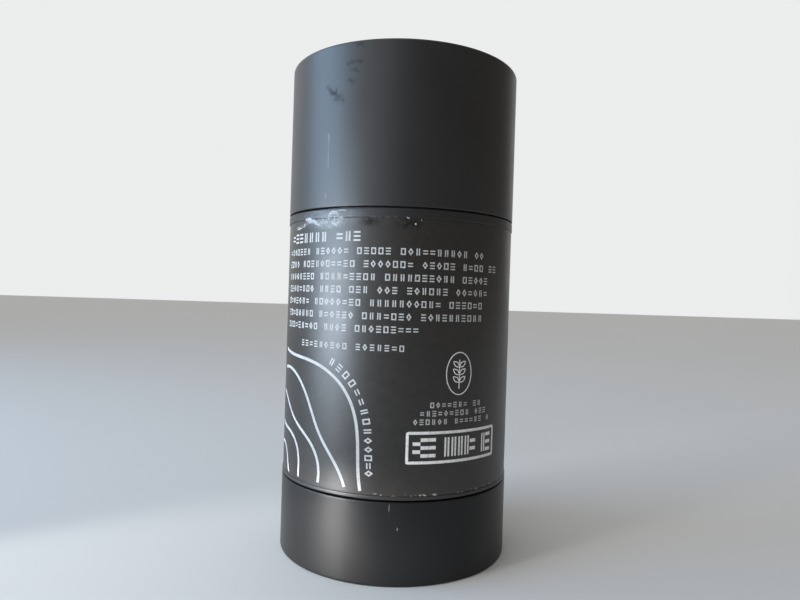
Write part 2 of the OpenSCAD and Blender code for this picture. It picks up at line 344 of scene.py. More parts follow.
class SideGraph(Graph):
    """The shader of a turned side, with its angle from the front, its height and both rolled out."""

    def __init__(self, name):
        super().__init__(name)
        x, y, self.height = self.split(self.place)
        self.angle = self.math("ARCTAN2", x, y * -1.0) * (180 / math.pi)
        self.flat = self.vector(self.angle * math.radians(CAP_RADIUS), self.height, 0.0)
        self.torn = self.noise(0.8, detail=4.0, rough=0.6)

    def mark(self, spot, colour, share=1.0, rougher=0.0, sheen=1.0):
        """Lays a mark over what is there: its colour, what it roughens and what it leaves of the sheen."""
        self.base = self.blend(spot * share, self.base, colour)
        if rougher:
            self.dull = self.dull + spot * rougher
        if sheen < 1.0:
            self.sheen = spot.ramp(0.0, 1.0, 1.0, sheen) * self.sheen

    def marked(self, grain, depth):
        """The finished material, with a grain whose depth is in millimetres."""
        return self.done(self.base, self.dull, grain, depth, Specular_IOR_Level=self.sheen)

    def patch(self, at, size):
        """Soft spot at an angle and height. Its size is in degrees and millimetres."""
        across = (self.angle - at[0]) / size[0]
        along = (self.height - at[1]) / size[1]
        return self.rest(across ** 2.0 + along ** 2.0)

    def stroke(self, start, end):
        """Distance in millimetres from a straight stroke between two (degrees, height) places."""
        start, end = (Vector((*unrolled(place), 0)) for place in (start, end))
        run = end - start
        from_start = self.vectors("SUBTRACT", self.flat, start)
        share = self.vectors("DOT_PRODUCT", from_start, run / run.length_squared, result=1)
        along = self.get("ShaderNodeVectorMath", run, Scale=self.within(share), operation="SCALE")
        return self.vectors("LENGTH", self.vectors("SUBTRACT", from_start, along), result=1)

    def ragged_stroke(self, start, end, width):
        """Share of a soft mark along a stroke."""
        away = self.stroke(start, end) + self.torn.ramp(0.25, 0.75, -0.6 * width, 0.9 * width)
        return away.ramp(0.1 * width, width, 1.0, 0.0)

    def dried_haze_and_highlight(self):
        """Share of thin dried deodorant with painted highlight: a haze left of the film's top edge, faint
        trails.
        """
        streaks = self.noise(0.75, detail=5.0, rough=0.7, shift=(3.1, 0, 0))
        fine = self.noise(0.28, detail=3.0, rough=0.6, stretch=(1.0, 1.0, 0.35))
        # Broad pale patch where the lamp's highlight falls: partly painted highlight, partly dried haze
        haze = self.patch((-38.0, FILM_HIGH + 0.1), (24.0, 2.4)) * streaks.ramp(0.35, 0.75, 0.0, 0.22)
        thick = self.patch((-35.0, FILM_HIGH - 0.6), (10.5, 1.7)).ramp(0.0, 0.5)
        thick = thick * fine.ramp(0.42, 0.6, 0.03, 0.3)
        trail = self.stroke((-61.0, FILM_HIGH - 1.5), (-50.0, FILM_HIGH - 0.7)).ramp(0.1, 0.45, 1.0, 0.0)
        trail = trail * streaks.ramp(0.45, 0.6, 0.0, 0.5)
        line = self.stroke((-22.0, FILM_HIGH + 0.05), (-2.0, FILM_HIGH + 0.05)).ramp(0.05, 0.25, 1.0, 0.0)
        line = line * streaks.ramp(0.4, 0.65, 0.0, 0.12)
        haze = self.math("MAXIMUM", self.math("MAXIMUM", haze, thick), trail)
        return self.math("MAXIMUM", haze, line, clamp=True)


def shade(rgb, factor):
    return tuple(min(1.0, c * factor) for c in rgb)


def unrolled(place):
    """A point given as (degrees, height) on the rolled-out side, in millimetres."""
    return math.radians(place[0]) * CAP_RADIUS, place[1]


def satin_shell(name, roughness, gloss, scuffs=(), pale_streaks=(), hazed_and_highlit=False, tone=1.0):
    """Black moulded plastic: grain, handling marks, scuffs, pale streaks, haze that is partly painted
    highlight.
    """
    g = SideGraph(name)
    black = bpy.context.scene.stick_finish.shell_colour
    cloud = g.noise(9.0, detail=3.0)
    grain = g.noise(0.16)
    # tone lightens or darkens the whole black: painted light or painted shade over the piece
    g.base = g.blend(cloud, shade(black, 0.86 * tone), shade(black, 1.14 * tone))
    g.dull = cloud.spread(roughness - 0.025, roughness + 0.025) + grain.spread(-0.012, 0.012)
    g.sheen = gloss
    for scuff in scuffs:
        g.mark(g.ragged_stroke(*scuff), SCUFF_BLACK, share=0.4, rougher=0.05, sheen=0.62)
    # Pale bluish streaks blended over the black
    for pale_streak in pale_streaks:
        g.mark(g.ragged_stroke(*pale_streak), PALE_STREAK_TINT, share=0.22)
    if hazed_and_highlit:
        # A pale haze that is partly dried deodorant and partly painted highlight
        g.mark(g.dried_haze_and_highlight(), SHELL_HAZE_AND_HIGHLIGHT)
    return g.marked(grain, 0.004)


def printed_film():
    """Satin black film: mottle, smudges, pale lower-edge flecks and a haze that is partly painted
    highlight.
    """
    g = SideGraph("satin_film")
    finish = bpy.context.scene.stick_finish
    smudges = (((-14.0, FILM_HIGH - 0.7), (6.0, 1.1)), ((3.9, FILM_HIGH - 1.1), (6.5, 1.5)))
    pale_edge_level, pale_edge_height = FILM_LOW + 0.15, 0.5
    pale_edge_side = ((28.0, FILM_LOW), (40.0, 9.0))
    mottle = g.noise(0.35, detail=3.0, rough=0.65)
    cloud = g.noise(7.0)
    flecks = g.noise(0.7, detail=3.0)
    spots = g.noise(1.5, detail=4.0, rough=0.65)
    pale = mottle.ramp(0.35, 0.65, 0.0, 0.5) + spots.ramp(0.35, 0.65, 0.0, 0.5)
    g.base = g.blend(pale, shade(finish.film_colour, 0.55), shade(finish.film_colour, 1.4))
    g.dull = cloud.spread(finish.roughness - 0.05, finish.roughness + 0.01) + mottle.spread(-0.03, 0.03)
    g.sheen = finish.gloss
    for smudge in smudges:
        spot = g.patch(*smudge) * flecks.ramp(0.36, 0.52)
        g.mark(spot, SMUDGE_BLACK, share=0.5, rougher=0.1, sheen=0.3)
    # A pale haze that is partly dried deodorant and partly painted highlight
    g.mark(g.dried_haze_and_highlight(), FILM_HAZE_AND_HIGHLIGHT)
    # Pale flecks along the film's lower edge, blended towards a warm grey
    pale_edge = g.rest(g.math("ABSOLUTE", g.height - pale_edge_level) / pale_edge_height) ** 1.5
    pale_edge = pale_edge * flecks.ramp(0.55, 0.66) * g.patch(*pale_edge_side).ramp(0.0, 0.3)
    g.mark(pale_edge, PALE_EDGE_TINT, share=0.6)
    return g.marked(mottle, 0.006)


def white_ink(name, strength):
    """Screen-printed white, a little thin and uneven."""
    g = Graph(name)
    patchy = g.noise(0.5, detail=3.0, rough=0.6)
    full = shade(bpy.context.scene.stick_finish.ink_colour, strength)
    base = g.blend(patchy.ramp(0.45, 0.75), full, shade(full, 0.74))
    return g.done(base, patchy.spread(0.5, 0.62), patchy, 0.003, Specular_IOR_Level=0.25)


def dry_residue():
    """Crumbs of dried deodorant."""
    g = Graph("dry_residue")
    crumb = g.noise(0.25, detail=4.0, rough=0.6)
    base = g.blend(crumb.ramp(0.35, 0.65), CRUMB_DARK, CRUMB_PALE)
    return g.done(base, crumb.spread(0.6, 0.8), crumb, 0.03)


def wax_solid():
    """Waxy deodorant: slightly see-through, with the drag lines of use across its top."""
    g = Graph("wax_solid")
    wax = bpy.context.scene.stick_finish.wax_colour
    drag = g.noise(0.6, detail=4.0, rough=0.55, stretch=(0.12, 1.0, 1.0))
    base = g.blend(g.noise(5.0, detail=3.0).spread(0.0, 1.0), shade(wax, 0.93), wax)
    return g.done(
        base, drag.spread(0.42, 0.58), drag, 0.06,
        Subsurface_Weight=0.25, Subsurface_Radius=(1.0, 0.9, 0.7), Subsurface_Scale=1.2 * MM,
    )


def natural_moulding(name):
    """Uncoloured polypropylene of the inner pieces."""
    g = Graph(name)
    natural = bpy.context.scene.stick_finish.natural_colour
    cloud = g.noise(4.0, detail=3.0)
    base = g.blend(cloud, shade(natural, 0.94), natural)
    return g.done(
        base, cloud.spread(0.36, 0.46), g.noise(0.3), 0.004,
        Subsurface_Weight=0.15, Subsurface_Scale=1.0 * MM,
    )


class Shape(Nodes):
    """One geometry node tree with named inputs, the last of which is its material."""

    def __init__(self, name, **inputs):
        super().__init__(bpy.data.node_groups.new(name, "GeometryNodeTree"))
        face = self.tree.interface
        for title, kind in {"Geometry": "Geometry", **inputs, "Material": "Material"}.items():
            face.new_socket(title.replace("_", " "), in_out="INPUT", socket_type="NodeSocket" + kind)
        face.new_socket("Geometry", in_out="OUTPUT", socket_type="NodeSocketGeometry")
        self.inputs = {part.name: Value(self, part) for part in self.add("NodeGroupInput").outputs}

    def place(self):
        return self.get("GeometryNodeInputPosition")

    def attribute(self, name, kind="FLOAT"):
        return self.get("GeometryNodeInputNamedAttribute", name, data_type=kind)

    def heading(self, turn):
        """Sideways and forward parts of the direction at an angle from the front."""
        return self.math("SINE", turn), self.math("COSINE", turn) * -1

    def copies(self, points, piece, **settings):
        return self.get("GeometryNodeInstanceOnPoints", points, Instance=piece, **settings)

    def wrapped(self, geometry):
        """Bends what lies flat on XY round the barrel: X runs along the arc, Y up, Z outwards."""
        along, up, out = self.split(self.place())
        side, front = self.heading(along / self.inputs["Radius"])
        reach = self.inputs["Radius"] + out
        bent = self.vector(reach * side, reach * front, up)
        return self.get("GeometryNodeSetPosition", geometry, Position=bent)

    def even_curve(self):
        """The flat layout's lines, as curves in even steps."""
        curve = self.get("GeometryNodeMeshToCurve", self.inputs["Geometry"])
        return self.get("GeometryNodeResampleCurve", curve, Length=self.inputs["Step"], mode="LENGTH")

    def close(self, geometry):
        """Realize Instances and Set Material, then the output."""
        real = self.get("GeometryNodeRealizeInstances", geometry)
        done = self.get("GeometryNodeSetMaterial", real, Material=self.inputs["Material"])
        self.add("NodeGroupOutput", done)
        return self.tree


def turned_shell_tree():
    """Turns a half-section in the XZ plane about Z, with soft waves if asked."""
    s = Shape(
        "turned_shell", Section_points="Int", Segments="Int", Wave_outwards="Float",
        Wave_upwards="Float", Wave_size="Float", Wave_from="Float",
    )
    segments = s.inputs["Segments"]
    columns = segments + 1
    grid = s.get("GeometryNodeMeshGrid", Vertices_X=s.inputs["Section points"], Vertices_Y=columns)
    index = s.get("GeometryNodeInputIndex")
    row = s.math("FLOOR", (index + 0.5) / columns)
    column = index - row * columns
    section_point = s.get(
        "GeometryNodeSampleIndex", s.inputs["Geometry"], data_type="FLOAT_VECTOR", domain="POINT",
        Value=s.place(), Index=row,
    )
    reach, _, height = s.split(section_point)
    side, front = s.heading(column * math.tau / segments)
    plain = s.vector(reach * side, reach * front, height)
    noise = s.get("ShaderNodeTexNoise", plain, Scale=1.0 / s.inputs["Wave size"], Detail=1.5)
    share = s.within((height - s.inputs["Wave from"]) / (WAVE_RISE * MM))
    wave = (noise - 0.5) * share
    out = wave * s.inputs["Wave outwards"]
    shift = s.vector(out * side, out * front, wave * s.inputs["Wave upwards"])
    placed = s.get("GeometryNodeSetPosition", grid, Position=plain, Offset=shift)
    return s.close(s.get("GeometryNodeMergeByDistance", placed, Distance=WELD * MM))


def ring_tree():
    """Copies a piece evenly round Z."""
    s = Shape("ring_of_copies", Count="Int")
    line = s.get("GeometryNodeMeshLine", Count=s.inputs["Count"], Offset=(0, 0, 0))
    turn = s.get("GeometryNodeInputIndex") * math.tau / s.inputs["Count"]
    return s.close(s.copies(line, s.inputs["Geometry"], Rotation=s.vector(0.0, 0.0, turn)))


def marks_tree():
    """Puts a mark from a collection on each point of a flat layout and wraps them all."""
    s = Shape("printed_marks", Marks="Collection", Radius="Float", Seed="Int")
    kinds = s.get(
        "GeometryNodeCollectionInfo", s.inputs["Marks"], Separate_Children=True, Reset_Children=True
    )
    pick = s.add("FunctionNodeRandomValue", Seed=s.inputs["Seed"], data_type="INT")
    pick.inputs[4].default_value = 0
    pick.inputs[5].default_value = LAST_PICK
    copies = s.copies(
        s.inputs["Geometry"], kinds, Pick_Instance=True, Instance_Index=pick.outputs[2],
        Rotation=s.vector(0.0, 0.0, s.attribute("turn")), Scale=s.attribute("size", "FLOAT_VECTOR"),
    )
    return s.close(s.wrapped(s.get("GeometryNodeRealizeInstances", copies)))


def ribbon_tree():
    """Draws a flat ribbon of ink along each line of a flat layout and wraps it."""
    s = Shape("printed_lines", Width="Float", Thickness="Float", Step="Float", Radius="Float")
    path = s.get("GeometryNodeSetCurveNormal", s.even_curve(), mode="Z_UP")
    strip = s.get(
        "GeometryNodeCurvePrimitiveQuadrilateral", mode="RECTANGLE",
        Width=s.inputs["Width"], Height=s.inputs["Thickness"],
    )
    ribbon = s.get("GeometryNodeCurveToMesh", path, Profile_Curve=strip, Fill_Caps=True)
    return s.close(s.wrapped(ribbon))


def smears_tree():
    """Draws a ragged, flattened smear along each line of a flat layout and wraps it."""
    s = Shape(
        "dried_smears", Half_width="Float", Height="Float", Ragged="Float", Step="Float",
        Seed="Int", Radius="Float",
    )
    seed, ragged = s.inputs["Seed"], s.inputs["Ragged"]
    share = s.get("GeometryNodeSplineParameter")
    taper = (share * (1.0 - share) * 4.0) ** 0.4 + 0.05
    lumps = s.get("ShaderNodeTexNoise", noise_dimensions="4D", Scale=1 / (LUMP * MM), W=seed)
    swell = lumps * 1.6 + 0.2
    reach = taper * swell * s.attribute("wide")
    bead = s.get("GeometryNodeCurvePrimitiveCircle", mode="RADIUS", Resolution=10, Radius=1.0)
    smear = s.get(
        "GeometryNodeCurveToMesh", s.even_curve(), Profile_Curve=bead, Fill_Caps=True,
        Scale=reach * s.inputs["Half width"],
    )
    along, up, out = s.split(s.place())
    tears = s.add("ShaderNodeTexNoise", noise_dimensions="4D", Scale=1 / (TEAR * MM), W=seed)
    torn_x, torn_y, torn_z = s.split(tears.outputs["Color"])
    height = out * s.inputs["Height"] * (torn_z + 0.5)
    place = s.vector(
        along + (torn_x - 0.5) * ragged, up + (torn_y - 0.5) * ragged, height + s.attribute("lift")
    )
    return s.close(s.wrapped(s.get("GeometryNodeSetPosition", smear, Position=place)))


# Mesh helpers


def linked(name, data):
    made = bpy.data.objects.new(name, data)
    bpy.context.scene.collection.objects.link(made)
    return made


def mesh_of(name, points, edges=(), faces=()):
    """A mesh whose points are given in millimetres."""
    mesh = bpy.data.meshes.new(name)
    mesh.from_pydata([tuple(c * MM for c in p) for p in points], list(edges), list(faces))
    return mesh


def source_object(name, points, edges=(), faces=()):
    """An object that a tree starts from. Its points are in millimetres."""
    return linked(name, mesh_of(name, points, edges, faces))


def store(source, name, values, kind="FLOAT"):
    """Keeps a value for each point of a source object."""
    field = "value" if kind == "FLOAT" else "vector"
    for point, value in zip(source.data.attributes.new(name, kind, "POINT").data, values):
        setattr(point, field, value)


def path_object(name, lines):
    """A source object with a flat run of points for each (points, closed) line."""
    points, edges = [], []
    for run, closed in lines:
        start, count = len(points), len(run)
        points += [(p[0], p[1], 0.0) for p in run]
        links = count if closed else count - 1
        edges += [(start + k, start + (k + 1) % count) for k in range(links)]
    return source_object(name, points, edges)


def evaluated_mesh(source):
    graph = bpy.context.evaluated_depsgraph_get()
    return bpy.data.meshes.new_from_object(source.evaluated_get(graph), depsgraph=graph)


def bake(source, tree, name, **values):
    """Runs a tree on an object and returns the result as one plain mesh object."""
    modifier = source.modifiers.new(tree, "NODES")
    modifier.node_group = TREES[tree]
    for item in TREES[tree].interface.items_tree:
        title = item.name.replace(" ", "_")
        if item.in_out == "INPUT" and title in values:
            modifier[item.identifier] = values[title]
    mesh = evaluated_mesh(source)
    source.modifiers.remove(modifier)
    bpy.data.objects.remove(source)
    mesh.name = name
    made = linked(name, mesh)
    face_outwards(made)
    return made


def face_outwards(piece):
    """Turns a closed mesh right side out and shades it smoothly up to its hard edges."""
    mesh = piece.data
    work = bmesh.new()
    work.from_mesh(mesh)
    if work.calc_volume(signed=True) < 0:
        bmesh.ops.reverse_faces(work, faces=work.faces)
    work.to_mesh(mesh)
    work.free()
    mesh.shade_smooth()
    mesh.set_sharp_from_angle(angle=math.radians(HARD_EDGE))


def join(name, pieces):
    """Joins finished pieces into the first and names it."""
    for piece in bpy.context.selected_objects:
        piece.select_set(False)
    for piece in pieces:
        piece.select_set(True)
    bpy.context.view_layer.objects.active = pieces[0]
    bpy.ops.object.join()
    pieces[0].name = name
    pieces[0].data.name = name
    return pieces[0]


def section(corners, on_axis):
    """Half-section as a run of (radius, height) points. A corner is (radius, height, fillet).

    A section on the axis starts and ends there. Any other one closes on itself.
    """
    run = []
    for k, (r, z, fillet) in enumerate(corners):
        here = Vector((r, z))
        if not fillet:
            run.append(here)
            continue
        back = (Vector(corners[k - 1][:2]) - here).normalized()
        ahead = (Vector(corners[(k + 1) % len(corners)][:2]) - here).normalized()
        half = back.angle(ahead) / 2
        centre = here + (back + ahead).normalized() * fillet / math.sin(half)
        start = here + back * fillet / math.tan(half) - centre
        end = here + ahead * fillet / math.tan(half) - centre
        sweep = start.angle_signed(end)
        for step in range(ARC_STEPS + 1):
            run.append(centre + Matrix.Rotation(-sweep * step / ARC_STEPS, 2) @ start)
    if not on_axis:
        run.append(run[0])
    return spaced(run)


def spaced(run):
    """Adds support points beside corners and splits long spans."""
    out = [run[0]]
    for first, last in zip(run, run[1:]):
        length = (last - first).length
        if length > 2.5 * HOLD:
            inner = length - 2 * HOLD
            steps = max(1, math.ceil(inner / SPAN))
            for k in range(steps + 1):
                out.append(first.lerp(last, (HOLD + inner * k / steps) / length))
        out.append(last)
    return out


def turned_piece(name, corners, material, on_axis=False, wave=(0.0, 0.0), wave_size=8.0, wave_from=0.0):
    """One turned shell from its half-section, in millimetres. Waves start above wave_from."""
    run = section(corners, on_axis)
    return bake(
        source_object(name + "_section", [(p.x, 0, p.y) for p in run]), "shell", name,
        Section_points=len(run), Segments=bpy.context.scene.stick_shells.segments,
        Wave_outwards=wave[0], Wave_upwards=wave[1], Wave_size=wave_size * MM,
        Wave_from=wave_from * MM, Material=material,
    )


def ring_of_blocks(name, count, reach, width, level, material):
    """Boxes evenly round the axis, between two radii and two levels, in millimetres."""
    side = (-width / 2, width / 2)
    points = [(x, y, z) for x in reach for y in side for z in level]
    source = source_object(name, points, faces=BOX_FACES)
    return bake(source, "ring", name, Count=count, Material=material)


def neck_and_bore(shells):
    """Outside and inside radius of the neck, in millimetres."""
    neck = BARREL_RADIUS - mm(shells.cap_wall) - mm(shells.cap_fit)
    return neck, neck - mm(shells.neck_wall)


def dress(piece, node):
    """The piece stands for a CAD node, on its body."""
    body = next(b for b, members in frame["record"]["behaviour"]["bodies"].items() if node in members)
    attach(piece, body)
    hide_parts(node)


# Operators


class STICK_OT_trees(bpy.types.Operator):
    """Build the geometry node trees that the pieces share."""

    bl_idname = "stick.trees"
    bl_label = "Prepare trees"

    def execute(self, context):
        TREES["shell"] = turned_shell_tree()
        TREES["ring"] = ring_tree()
        TREES["marks"] = marks_tree()
        TREES["ribbon"] = ribbon_tree()
        TREES["smears"] = smears_tree()
        return {"FINISHED"}


class STICK_OT_cap(bpy.types.Operator):
    """Build the moulded cap with its grip ribs."""

    bl_idname = "stick.cap"
    bl_label = "Cap"

    scuffs = (
        ((-37.8, 95.9), (-30.5, 93.6), 0.8),
        ((-32.6, 94.0), (-29.6, 93.2), 1.5),
        ((-26.1, 99.9), (-20.6, 100.0), 0.8),
        ((-25.0, 98.6), (-22.0, 98.2), 0.7),
        ((-25.1, 96.6), (-23.4, 96.0), 0.8),
        ((-21.9, 103.1), (-20.1, 103.1), 0.6),
    )
    # Pale bluish streaks in the cap's brightest band, as two ends and a width
    pale_streaks = (
        ((-36.0, 86.6), (-36.0, 85.0), 0.34),
        ((-36.0, 85.0), (-36.0, 79.0), 0.17),
        ((-36.9, 75.0), (-36.9, 74.0), 0.26),
    )
    # The cap's black is painted lighter, as painted light on its shaded right side
    tone = 1.3
    lead_in = 0.4
    rib_count = 12
    rib_width = 1.0
    rib_start, rib_end = 2.0, 11.0
    rib_clearance = 0.09
    rib_root = 0.2

    def execute(self, context):
        shells, finish = context.scene.stick_shells, context.scene.stick_finish
        plastic = satin_shell(
            "cap_satin", finish.roughness, finish.gloss, self.scuffs, self.pale_streaks, tone=self.tone
        )
        inner = CAP_RADIUS - mm(shells.cap_wall)
        roof = CAP_HIGH - mm(shells.cap_top)
        corners = [
            (0.0, CAP_HIGH, 0.0),
            (CAP_RADIUS, CAP_HIGH, mm(shells.outer_edge)),
            (CAP_RADIUS, CAP_LOW, mm(shells.seam_edge)),
            (inner + self.lead_in, CAP_LOW, 0.05),
            (inner, CAP_LOW + self.lead_in, 0.1),
            (inner, roof, 1.2),
            (0.0, roof, 0.0),
        ]
        reach = (inner - mm(shells.cap_fit) + self.rib_clearance, inner + self.rib_root)
        level = (CAP_LOW + self.rib_start, CAP_LOW + self.rib_end)
        ribs = ring_of_blocks("cap_ribs", self.rib_count, reach, self.rib_width, level, plastic)
        shell = turned_piece("cap_shell", corners, plastic, on_axis=True)
        dress(join("cap_shell", [shell, ribs]), "cap")
        return {"FINISHED"}


class STICK_OT_barrel(bpy.types.Operator):
    """Build the barrel with its neck, label panel, keys, floor and collar."""

    bl_idname = "stick.barrel"
    bl_label = "Barrel"

    panel_edge = 0.13
    key_count = 4
    key_width = 1.4
    key_height = 0.8
    key_root = 0.3
    key_sink = 0.4
    key_end = 2.0
    journal_hole = 5.75
    snap_start = 1.0
    snap_width = 1.6
    snap_height = 0.45

    def execute(self, context):
        shells, finish = context.scene.stick_shells, context.scene.stick_finish
        # The barrel's bare strip gets the pale haze, which is partly painted highlight
        plastic = satin_shell("barrel_satin", finish.roughness, finish.gloss, hazed_and_highlit=True)
        neck, bore = neck_and_bore(shells)
        gap, edge = mm(shells.seam_gap), mm(shells.seam_edge)
        foot, shoulder = BASE_HIGH + gap, CAP_LOW - gap
        floor = foot + mm(shells.floor)
        panel = BARREL_RADIUS - mm(shells.panel_depth)
        collar = bore + mm(shells.collar_wall)
        bead = BARREL_LOW + self.snap_start
        corners = [
            (bore, BARREL_HIGH, 0.3),
            (neck, BARREL_HIGH, 0.5),
            (neck, shoulder, 0.1),
            (BARREL_RADIUS, shoulder, edge),
            (BARREL_RADIUS, FILM_HIGH, self.panel_edge),
            (panel, FILM_HIGH, 0.0),
            (panel, FILM_LOW, 0.0),
            (BARREL_RADIUS, FILM_LOW, self.panel_edge),
            (BARREL_RADIUS, foot, edge),
            (collar, foot, 0.1),
            (collar, bead + self.snap_width, 0.0),
            (collar + self.snap_height, bead + self.snap_width / 2, 0.15),
            (collar, bead, 0.0),
            (collar, BARREL_LOW, 0.2),
            (bore, BARREL_LOW, 0.2),
            (bore, foot, 0.1),
            (self.journal_hole, foot, 0.1),
            (self.journal_hole, floor, 0.1),
            (bore, floor, 0.4),
        ]
        reach = (bore - self.key_height, bore + self.key_root)
        level = (floor - self.key_sink, BARREL_HIGH - self.key_end)
        keys = ring_of_blocks("barrel_keys", self.key_count, reach, self.key_width, level, plastic)
        shell = turned_piece("barrel_shell", corners, plastic)
        dress(join("barrel_shell", [shell, keys]), "barrel")
        return {"FINISHED"}


class STICK_OT_label(bpy.types.Operator):
    """Build the wrapped film with its lap at the back."""

    bl_idname = "stick.label"
    bl_label = "Label film"

    glue = 0.03
    rounding = 0.03
    wave_size = 7.0
    lap_degrees = 9.2
    lap_steps = 12
    lap_fall = 2.5
    lap_least = 0.35
    lap_sink = 0.05

    def execute(self, context):
        shells = context.scene.stick_shells
        film = printed_film()
        inner = CAP_RADIUS - mm(shells.panel_depth) + self.glue
        outer = inner + mm(shells.film)
        corners = [
            (inner, FILM_LOW, 0.0),
            (outer, FILM_LOW, self.rounding),
            (outer, FILM_HIGH, self.rounding),
            (inner, FILM_HIGH, 0.0),
        ]
        waves = {"wave": (shells.film_wave, 0.0), "wave_size": self.wave_size}
        sleeve = turned_piece("label_film", corners, film, **waves)
        lap = self.lap_strip(outer, outer + mm(shells.film))
        lap.data.materials.append(film)
        dress(join("label_film", [sleeve, lap]), "label")
        return {"FINISHED"}

    def lap_strip(self, inner, outer):
        """The film's end, lying on its start at the back."""
        points = []
        sunk = inner - self.lap_sink
        for k in range(self.lap_steps + 1):
            turn = math.radians(180 + self.lap_degrees * (k / self.lap_steps - 0.5))
            lift = max(self.lap_least, min(1.0, self.lap_fall * (1 - k / self.lap_steps)))
            top = inner + (outer - inner) * lift
            for r, z in ((sunk, FILM_LOW), (top, FILM_LOW), (top, FILM_HIGH), (sunk, FILM_HIGH)):
                points.append((r * math.sin(turn), -r * math.cos(turn), z))
        faces = [(0, 1, 2, 3), tuple(4 * self.lap_steps + c for c in (3, 2, 1, 0))]
        for k in range(self.lap_steps):
            a, b = 4 * k, 4 * k + 4
            faces += [(a + c, b + c, b + (c + 1) % 4, a + (c + 1) % 4) for c in range(4)]
        strip = source_object("label_lap", points, faces=faces)
        face_outwards(strip)
        return strip


class STICK_OT_print(bpy.types.Operator):
    """Print the film: rows of plain marks, a sprig in a ring, a framed panel and ripple lines."""

    bl_idname = "stick.print"
    bl_label = "Print"

    # The ripples' ink is a little darker, as painted shade where the lamps light them low at the left; the
    # panel's and sprig's ink is bolder and also painted lighter, as painted light for the dimmer right
    # side
    inks = (("thin_ink", 1.0), ("line_ink", 0.93), ("full_ink", 1.57))
    line_step = 0.35
    mark_share, pair_share = 0.74, 0.62
    # A row is its two ends in degrees, its level, its marks' height and their share of the pitch
    heading = (-66.0, -17.0, 66.5, 1.9, 1.35)
    footnote = (-52.0, 5.4, 45.3, 1.2, 1.0)
    small_rows = (
        (15.0, 43.5, 34.6, 1.05, 0.86),
        (10.5, 48.4, 33.0, 1.05, 0.86),
        (7.5, 51.0, 31.4, 1.05, 0.86),
    )
    rows_left = -69.0
    rows_top = 63.7
    rows_right = (45.0, 54.0, 51.0, 52.0, 44.0, 46.0, 12.0)
    first_word = (4, 9)
    later_words = (3, 10)
    panel = (5.0, 54.0, 23.4, 29.6)
    panel_line = 0.55
    panel_margins = (1.3, 1.25)
    panel_groups = (3, 5, 2)
    panel_mark_width = 1.55
    sprig_at = (29.5, 40.6)
    sprig_size = (2.9, 4.1)
    sprig_line = 0.2
    sprig_steps = 48
    stem = (-0.72, 0.66)
    leaf_levels = (-0.42, -0.06, 0.3)
    leaf_length = 0.62
    leaf_width = 0.24
    leaf_rise = (0.78, 0.62)
    ripple_centre = (-78.0, 16.0)
    ripple_radii = (7.5, 12.5, 17.5, 23.0, 29.5)
    ripple_turns = (84.0, 4.0)
    ripple_steps = 60
    ripple_swell = (0.07, 5, 0.35)
    ripple_margin = 0.5
    ripple_marks_turns = (51.0, 9.0)
    ripple_marks_away = 2.1
    ripple_marks_size = (1.15, 1.5)
    ripple_marks_pitch = 1.12

    def execute(self, context):
        self.settings = context.scene.stick_print
        self.tall = mm(self.settings.mark_height)
        self.pitch = mm(self.settings.mark_pitch)
        self.draw = random.Random(self.settings.seed)
        inks = {name: white_ink(name, strength) for name, strength in self.inks}
        width = mm(self.settings.line_width)
        pieces = [
            self.print_marks("print_marks", self.text_rows(), inks["thin_ink"]),
            self.print_lines("print_ripples", self.ripples(), width, inks["line_ink"]),
            self.print_marks("print_panel_marks", self.panel_marks(), inks["full_ink"]),
            self.print_lines("print_panel", self.panel_frame(), self.panel_line, inks["full_ink"]),
            self.print_lines("print_sprig", self.sprig(), self.sprig_line, inks["full_ink"]),
        ]
        for piece in pieces:
            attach(piece, "barrel")
        return {"FINISHED"}

    def arc(self, degrees):
        """Length along the film from the front, in millimetres."""
        return math.radians(degrees) * FILM_RADIUS

    def row(self, left, right, level, tall, spread):
        """Marks in words of random length. A mark is x, level, turn and its two scales."""
        marks = []
        pitch = self.pitch * spread
        size = tall / self.tall
        x = self.arc(left) + pitch / 2
        word = self.draw.randint(*self.first_word)
        while x < self.arc(right) - pitch / 2:
            if word == 0:
                word = self.draw.randint(*self.later_words)
            else:
                marks.append((x, level, 0.0, size, size))
                word -= 1
            x += pitch
        return marks

    def text_rows(self):
        """The heading, the main rows, the footnote, the small rows and the row along a ripple."""
        rows = [self.heading]
        for k, right in enumerate(self.rows_right):
            level = self.rows_top - k * mm(self.settings.row_pitch)
            rows.append((self.rows_left, right, level, self.tall, 1.0))
        marks = []
        for row in (*rows, self.footnote, *self.small_rows):
            marks += self.row(*row)
        return marks + self.ripple_marks()

    def panel_marks(self):
        """Tall plain marks in groups inside the framed panel."""
        left, right, low, high = self.panel
        beside, above = self.panel_margins
        count = sum(self.panel_groups) + len(self.panel_groups) - 1
        start, end = self.arc(left) + beside, self.arc(right) - beside
        pitch = (end - start) / count
        stretch = (high - low - 2 * above) / self.tall
        marks, place = [], 0
        for group in self.panel_groups:
            for _ in range(group):
                x = start + (place + 0.5) * pitch
                marks.append((x, (low + high) / 2, 0.0, self.panel_mark_width, stretch))
                place += 1
            place += 1
        return marks

    def ripple_point(self, radius, degrees):
        """A point on a ripple: a ring round a low corner, gently waved."""
        turn = math.radians(degrees)
        amount, waves, shift = self.ripple_swell
        reach = radius * (1 + amount * math.sin(turn * waves + radius * shift))
        centre = Vector((self.arc(self.ripple_centre[0]), self.ripple_centre[1]))
        return centre + Vector((math.cos(turn), math.sin(turn))) * reach

    def ripples(self):
        """Nested waves in the lower left, ending at the film's lower edge."""
        lines = []
        first, last = self.ripple_turns
        turns = [first + (last - first) * k / self.ripple_steps for k in range(self.ripple_steps + 1)]
        for radius in self.ripple_radii:
            run = [self.ripple_point(radius, turn) for turn in turns]
            lines.append(([p for p in run if p.y > FILM_LOW + self.ripple_margin], False))
        return lines

